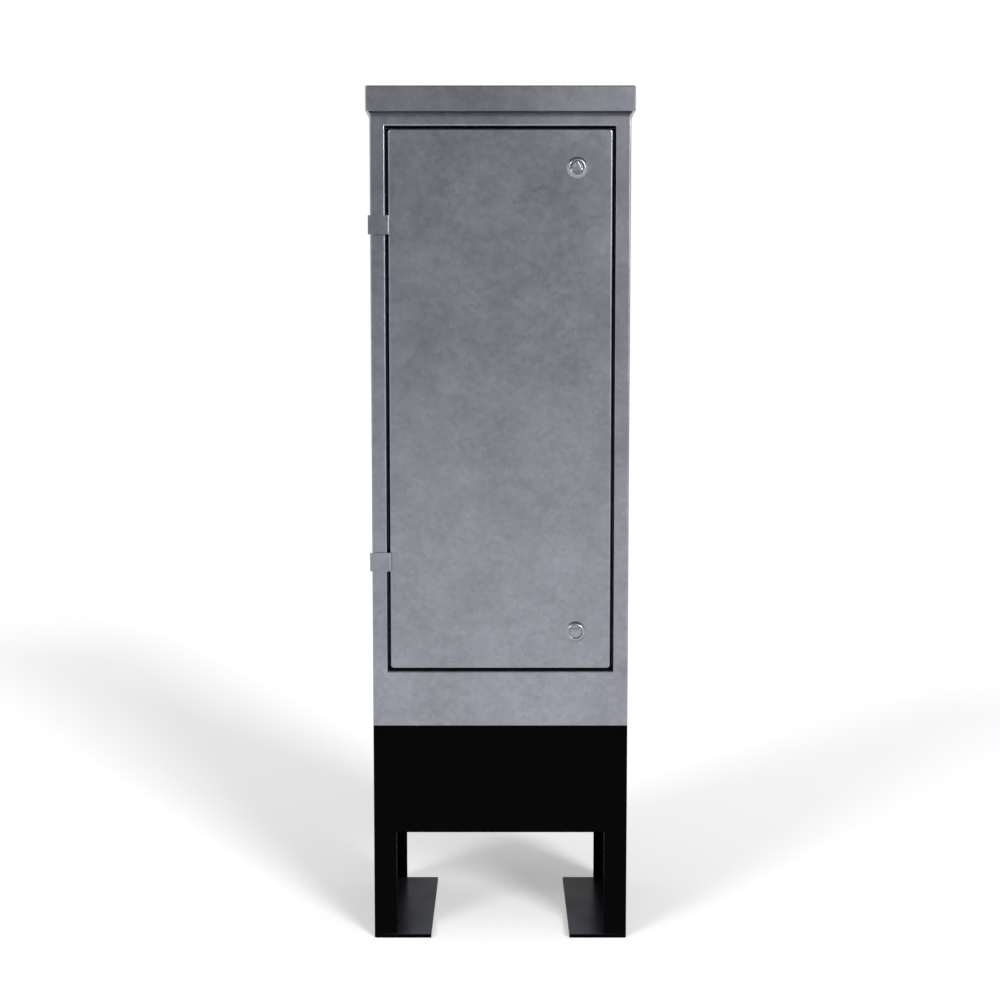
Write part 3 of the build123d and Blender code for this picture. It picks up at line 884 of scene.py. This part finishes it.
@dataclass
class Wardrobe:
    """The finishes and the material slots that they dress."""

    finishes: dict[str, object] = field(default_factory=lambda: {
        "galvanised_steel": GalvanisedSteel(),
        "bitumen_black": BitumenPaint(),
        "cast_zinc": PlatedMetal("cast_zinc", (0.29, 0.3, 0.33), (0.35, 0.36, 0.39), 0.3),
        "zinc_plated_steel": PlatedMetal("zinc_plate", (0.42, 0.43, 0.45), (0.58, 0.59, 0.61), 0.26),
        "seal_foam": SealFoam(),
        "plywood": Plywood(),
        "earth_brass": PlatedMetal("earth_brass", (0.55, 0.36, 0.11), (0.72, 0.5, 0.18), 0.24),
    })
    made: dict[str, Material] = field(default_factory=dict)

    def build(self) -> None:
        """Makes one material for each slot."""
        self.made = {slot: finish.material() for slot, finish in self.finishes.items()}

    def dress_nodes(self) -> None:
        """Gives every carried-over node the finish of its slot."""
        for part in frame["record"]["subparts"]:
            mesh = frame["nodes"][part["node"]].data
            mesh.materials.clear()
            mesh.materials.append(self.made[part["material_slot"]])
            LOG.info("dressed %s in %s", part["node"], part["material_slot"])


def reach(node: str, axis: Axis) -> tuple[float, float]:
    """Where a carried-over node starts and ends along an axis, in millimetres."""
    low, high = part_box(node)
    return low[axis.value] / MM, high[axis.value] / MM


def axis_place(node: str, axis: Axis) -> Point:
    """Where the axis of a carried-over turned node passes, in millimetres.

    Args:
        node: the node's name.
        axis: the direction of its axis, along which the place is zero.

    Returns:
        The middle of the node's box, with zero along the axis.
    """
    middle = [sum(reach(node, way)) / 2.0 for way in Axis]
    middle[axis.value] = 0.0
    return tuple(middle)


@dataclass
class Lock:
    """One lock: the turned housing with its conical rim and the triangular key post."""

    level: Level
    wardrobe: Wardrobe
    front: float = -140.0
    rim_front: float = -143.6
    rim_radius: float = 12.2
    base_radius: float = 16.5
    cup_radius: float = 10.2
    cup_floor: float = -136.0
    barrel_radius: float = 12.0
    barrel_back: float = -114.0
    bore: float = 6.08
    post_side: float = 18.6
    post_corner: float = 1.5
    post_front: float = -143.0
    collar_radius: float = 9.8
    collar_front: float = -140.6
    shank_radius: float = 6.0
    cam_front: float = -111.4
    tail_back: float = -108.5
    tail_half: float = 4.0
    tail_corner_share: float = 1.32
    tail_chamfer: float = 0.3
    tail_overlap: float = 1.0
    drill: float = 3.05
    collar_play: float = 0.08
    collar_bore: float = 0.6

    def build(self) -> None:
        """Makes the housing and the key post."""
        self.make_housing()
        self.make_spindle()

    def centre(self) -> Point:
        """The middle of the lock's axis at the frame's zero depth."""
        return axis_place(f"{self.level.value}_lock_housing", Axis.DEPTH)

    def make_housing(self) -> None:
        """The housing: its outline of rim, cup and barrel, with eased corners, is turned."""
        outline = rounded(
            [(self.cup_radius, self.rim_front), (self.rim_radius, self.rim_front),
             (self.base_radius, self.front), (self.barrel_radius, self.front),
             (self.barrel_radius, self.barrel_back), (self.bore, self.barrel_back),
             (self.bore, self.cup_floor), (self.cup_radius, self.cup_floor)],
            [0.6, 1.0, 0.3, 0.1, 0.6, 0.2, 0.1, 0.8], 8)
        shell = turned(outline, Axis.DEPTH, self.centre(), 120)
        name = f"{self.level.value}_lock_body"
        make_piece(name, [shell], Body.DOOR, "cast_zinc", self.wardrobe.made,
                   (f"{self.level.value}_lock_housing",), CURVED_SHARP)

    def post_outline(self, inset: np.ndarray) -> np.ndarray:
        """Outlines of the triangular post, drawn in from its sides.

        Each outline runs round three arcs of a sixth of a turn either side of a corner's direction;
        an arc's centre lies twice as far from the axis as the drawn-in side less the arc's radius.

        Args:
            inset: how far each outline is drawn in.

        Returns:
            Two coordinates across the axis, for each outline and each point round it.
        """
        steps = 12
        tip = 1.0 if self.level is Level.UPPER else -1.0
        corner = (np.pi / 2 * tip + np.arange(3) * math.tau / 3)[:, None]
        turn = (corner + np.linspace(-np.pi / 3, np.pi / 3, steps)[None, :]).reshape(1, -1)
        middle = np.repeat(corner, steps, axis=1).reshape(1, -1)
        arc = np.maximum(self.post_corner - 0.5 * inset, 0.4)
        far = 2.0 * (self.post_side / (2.0 * math.sqrt(3.0)) - inset - arc)
        side = far * np.cos(middle) + arc * np.cos(turn)
        up = far * np.sin(middle) + arc * np.sin(turn)
        return np.stack([side, up])

    def make_spindle(self) -> None:
        """The key post with a bevelled front, its collar and shank, and the square drilled tail."""
        rows = np.array([[0.5, 0.0], [0.3, 0.05], [0.15, 0.15], [0.04, 0.32], [0.0, 0.5], [0.0, 4.0]])
        side, up = self.post_outline(rows[:, :1])
        post = Shell(Axis.DEPTH.place(self.centre(), side, up, self.post_front + rows[:, 1:]))
        name = f"{self.level.value}_key_post"
        body = Body(f"{self.level.value}_lock")
        make_piece(name, [post, self.collar(), self.tail()], body, "cast_zinc", self.wardrobe.made,
                   (f"{self.level.value}_lock_spindle",), FOLDED_SHARP)

    def collar(self) -> Shell:
        """The collar on the cup's floor and the round shank behind it, turned in one outline.

        Returns:
            The turned shell.
        """
        seat = self.cup_floor - self.collar_play
        outline = rounded(
            [(self.collar_bore, self.collar_front), (self.collar_radius, self.collar_front),
             (self.collar_radius, seat), (self.shank_radius, seat),
             (self.shank_radius, self.cam_front), (self.collar_bore, self.cam_front)],
            [0.05, 0.3, 0.1, 0.1, 0.3, 0.05], 5)
        return turned(outline, Axis.DEPTH, self.centre(), 64)

    def tail(self) -> Shell:
        """The square tail that carries the cam.

        Round the axis the radius is half the square over the larger of the turn's sine and cosine,
        cut off at the corners. The end is chamfered and drilled.

        Returns:
            The shell, closed both ways.
        """
        turn = turns(48)
        square = self.tail_half / np.maximum(np.abs(np.cos(turn)), np.abs(np.sin(turn)))
        square = np.minimum(square, self.tail_half * self.tail_corner_share)
        drilled = np.full_like(square, self.drill)
        radius = np.concatenate([square, square, square - self.tail_chamfer, drilled, drilled])
        start = self.cam_front - self.tail_overlap
        length = np.array([[start], [self.tail_back - self.tail_chamfer], [self.tail_back],
                           [self.tail_back], [start]])
        side, up = radius * np.cos(turn), radius * np.sin(turn)
        return Shell(Axis.DEPTH.place(self.centre(), side, up, length), ring=True)


@dataclass(frozen=True)
class Thread:
    """A thread size in millimetres, with its nut's width across the flats."""

    radius: float
    pitch: float
    flats: float


M6 = Thread(3.0, 1.0, 10.0)
M8 = Thread(4.0, 1.25, 13.0)


def mirrored(x: float, y: float) -> list[Point]:
    """The four places at plus and minus x and y."""
    return [(way * x, side * y, 0.0) for way in (-1, 1) for side in (-1, 1)]


@dataclass
class Fixings:
    """Studs, bolts, washers and nuts, each set standing for one carried-over node."""

    wardrobe: Wardrobe
    m8_washer_radius: float = 8.0
    m8_washer_height: float = 1.6
    m6_washer_radius: float = 6.0
    board_washer_radius: float = 12.0
    spacer_radius: float = 8.0
    head_bore: float = 0.8
    head_overlap: float = 0.2
    root_places: list[Point] = field(
        default_factory=lambda: mirrored(185.0, 80.0) + mirrored(90.0, 125.0))
    roof_places: list[Point] = field(default_factory=lambda: mirrored(185.0, 80.0))
    board_places: list[Point] = field(default_factory=lambda: [
        (x * 120.0, 0.0, z) for x in (-1, 1) for z in (490.5, 1210.5)])

    def build(self) -> None:
        """Makes every set of fixings."""
        roof, board = (Axis.UPRIGHT, self.roof_places), (Axis.DEPTH, self.board_places)
        bore = M8.radius + BORE_PLAY
        self.row("canopy_studs", *roof, threaded, M6.radius, M6.pitch)
        self.row("canopy_nuts", *roof, hexagon, M6.flats, M6.radius)
        self.row("canopy_washers", *roof, washer, self.m6_washer_radius, M6.radius + BORE_PLAY)
        self.row("backboard_studs", *board, threaded, M8.radius, M8.pitch)
        self.row("backboard_nuts", *board, hexagon, M8.flats, M8.radius)
        self.row("backboard_washers", *board, washer, self.board_washer_radius, bore)
        self.row("backboard_spacers", *board, washer, self.spacer_radius, bore)
        self.row("root_nuts", Axis.UPRIGHT, self.root_places, hexagon, M8.flats, M8.radius)
        self.root_bolts()
        self.root_washers()

    def add(self, node: str, shells: list[Shell]) -> None:
        """Puts a set in place of its node."""
        make_piece(f"{node}_fine", shells, Body.CABINET, "zinc_plated_steel", self.wardrobe.made,
                   (node,), FIXING_SHARP)

    def row(self, node: str, axis: Axis, places: list[Point], make: Callable[..., Shell],
            *sizes: float) -> None:
        """Puts equal pieces, each as long as the node, in place of it."""
        low, high = reach(node, axis)
        self.add(node, [make(axis, place, low, high, *sizes) for place in places])

    def root_bolts(self) -> None:
        """Hexagon bolts whose heads stand on the cabinet's floor flange."""
        up = Axis.UPRIGHT
        low, high = reach("root_bolts", up)
        seat = reach("root_washers", up)[1]
        heads = [hexagon(up, place, seat, high, M8.flats, self.head_bore, (False, True))
                 for place in self.root_places]
        shanks = [threaded(up, place, low, seat + self.head_overlap, M8.radius, M8.pitch)
                  for place in self.root_places]
        self.add("root_bolts", heads + shanks)

    def root_washers(self) -> None:
        """Washers above and below the two flanges."""
        low, high = reach("root_washers", Axis.UPRIGHT)
        ends = [(low, low + self.m8_washer_height), (high - self.m8_washer_height, high)]
        bore = M8.radius + BORE_PLAY
        self.add("root_washers", [washer(Axis.UPRIGHT, place, start, end, self.m8_washer_radius, bore)
                                  for place in self.root_places for start, end in ends])


@dataclass
class EarthStuds:
    """The brass studs that bond the cabinet and the door."""

    wardrobe: Wardrobe
    nut_height: float = 6.5
    nut_step: float = 8.1

    def build(self) -> None:
        """Makes both studs and their nuts."""
        across, depth = Axis.ACROSS, Axis.DEPTH
        place = axis_place("body_earth_stud", across)
        low, high = reach("body_earth_stud", across)
        stud = threaded(across, place, low, high, M8.radius, M8.pitch)
        self.add("body_earth_stud", [stud], Body.CABINET)
        bore = M8.radius + BORE_PLAY
        nuts = [hexagon(across, place, top - self.nut_height, top, M8.flats, bore)
                for top in (high, high - self.nut_step)]
        self.add("body_earth_nuts", nuts, Body.CABINET)
        place = axis_place("door_earth_stud", depth)
        low, high = reach("door_earth_stud", depth)
        stud = threaded(depth, place, low, high, M6.radius, M6.pitch)
        self.add("door_earth_stud", [stud], Body.DOOR)
        low, high = reach("door_earth_nut", depth)
        nut = hexagon(depth, place, low, high, M6.flats, M6.radius + BORE_PLAY)
        self.add("door_earth_nut", [nut], Body.DOOR)

    def add(self, node: str, shells: list[Shell], body: Body) -> None:
        """Puts a brass piece in place of its node."""
        make_piece(f"{node}_fine", shells, body, "earth_brass", self.wardrobe.made,
                   (node,), FIXING_SHARP)


@dataclass
class Seal:
    """The foam strip on the frame's lip, against its return, domed and mitred at the corners."""

    wardrobe: Wardrobe
    half_x: float = 169.7
    half_z: float = 414.2
    middle_z: float = 850.5
    half_width: float = 6.6
    edge: float = 0.2
    dome_power: float = 5.0
    base_share: float = 0.98

    def build(self) -> None:
        """Carries the section round a rectangle.

        The section is flat at the back; its front is a raised half-superellipse. At each corner
        every section point moves out by the same distance along both sides, which gives the mitre.
        """
        front, back = reach("door_seal", Axis.DEPTH)
        u = np.linspace(-1.0, 1.0, 25)
        rise = (1.0 - np.abs(u) ** self.dome_power) ** 0.5
        dome = back - self.edge + (front - back + self.edge) * rise
        across = np.concatenate([u, [self.base_share, -self.base_share]]) * self.half_width
        depth = np.concatenate([dome, [back, back]])
        turn_x = np.array([1.0, -1.0, -1.0, 1.0])[:, None]
        turn_z = np.array([1.0, 1.0, -1.0, -1.0])[:, None]
        x = turn_x * (self.half_x + across)
        z = self.middle_z + turn_z * (self.half_z + across)
        points = np.stack([x, np.broadcast_to(depth, x.shape), z], axis=-1)
        make_piece("door_seal_strip", [Shell(points, ring=True)], Body.CABINET, "seal_foam",
                   self.wardrobe.made, ("door_seal",), FOLDED_SHARP)


@dataclass
class Welds:
    """Weld beads inside the door, and the marks of spot welds on the door's stiffener."""

    wardrobe: Wardrobe
    bead_radius: float = 1.5
    bead_half_length: float = 13.0
    bead_x: float = -168.4
    bead_y: float = -137.4
    hinge_heights: Point2 = (1122.0, 602.0)
    mark_radius: float = 3.2
    mark_height: float = 0.3
    mark_sink: float = 0.3
    mark_edge: float = 7.0
    mark_end: float = 20.0
    marks_in_row: int = 9
    flange_sheet: float = 1.5

    def build(self) -> None:
        """Makes the beads and the marks."""
        self.hinge_beads()
        self.spot_marks()

    def hinge_beads(self) -> None:
        """Beads down the inside of the door, where the hinge arms' legs meet its sheet."""
        shells = [
            bead((self.bead_x, self.bead_y, height - self.bead_half_length),
                 (self.bead_x, self.bead_y, height + self.bead_half_length), self.bead_radius)
            for height in self.hinge_heights
        ]
        make_piece("hinge_arm_welds", shells, Body.DOOR, "galvanised_steel",
                   self.wardrobe.made, (), CURVED_SHARP)

    def spot_marks(self) -> None:
        """Low round buttons in two rows, whose height falls with the square of the radius."""
        low, high = reach("door_stiffener", Axis.UPRIGHT)
        left, right = reach("door_stiffener", Axis.ACROSS)
        face = reach("door_stiffener", Axis.DEPTH)[0] + self.flange_sheet
        share = np.array([[0.05], [0.35], [0.65], [0.88], [1.0], [1.0]])
        turn = turns(20)
        radius = share * self.mark_radius
        crown = face + self.mark_height * (1.0 - share[:-1] ** 2)
        lift = np.concatenate([crown, [[face - self.mark_sink]]])
        shells = [
            Shell(Axis.DEPTH.place((x, 0.0, z), radius * np.cos(turn), radius * np.sin(turn), lift))
            for x in (left + self.mark_edge, right - self.mark_edge)
            for z in np.linspace(low + self.mark_end, high - self.mark_end, self.marks_in_row)
        ]
        make_piece("stiffener_spot_welds", shells, Body.DOOR, "galvanised_steel",
                   self.wardrobe.made, (), CURVED_SHARP)


def main() -> None:
    """Builds the finishes, the pieces and the studio in order."""
    logging.basicConfig(level=logging.INFO, format="%(name)s: %(message)s")
    wardrobe = Wardrobe()
    wardrobe.build()
    wardrobe.dress_nodes()
    for level in Level:
        Lock(level, wardrobe).build()
    Fixings(wardrobe).build()
    EarthStuds(wardrobe).build()
    Seal(wardrobe).build()
    Welds(wardrobe).build()
    Studio().build()


if __name__ == "__main__":
    main()
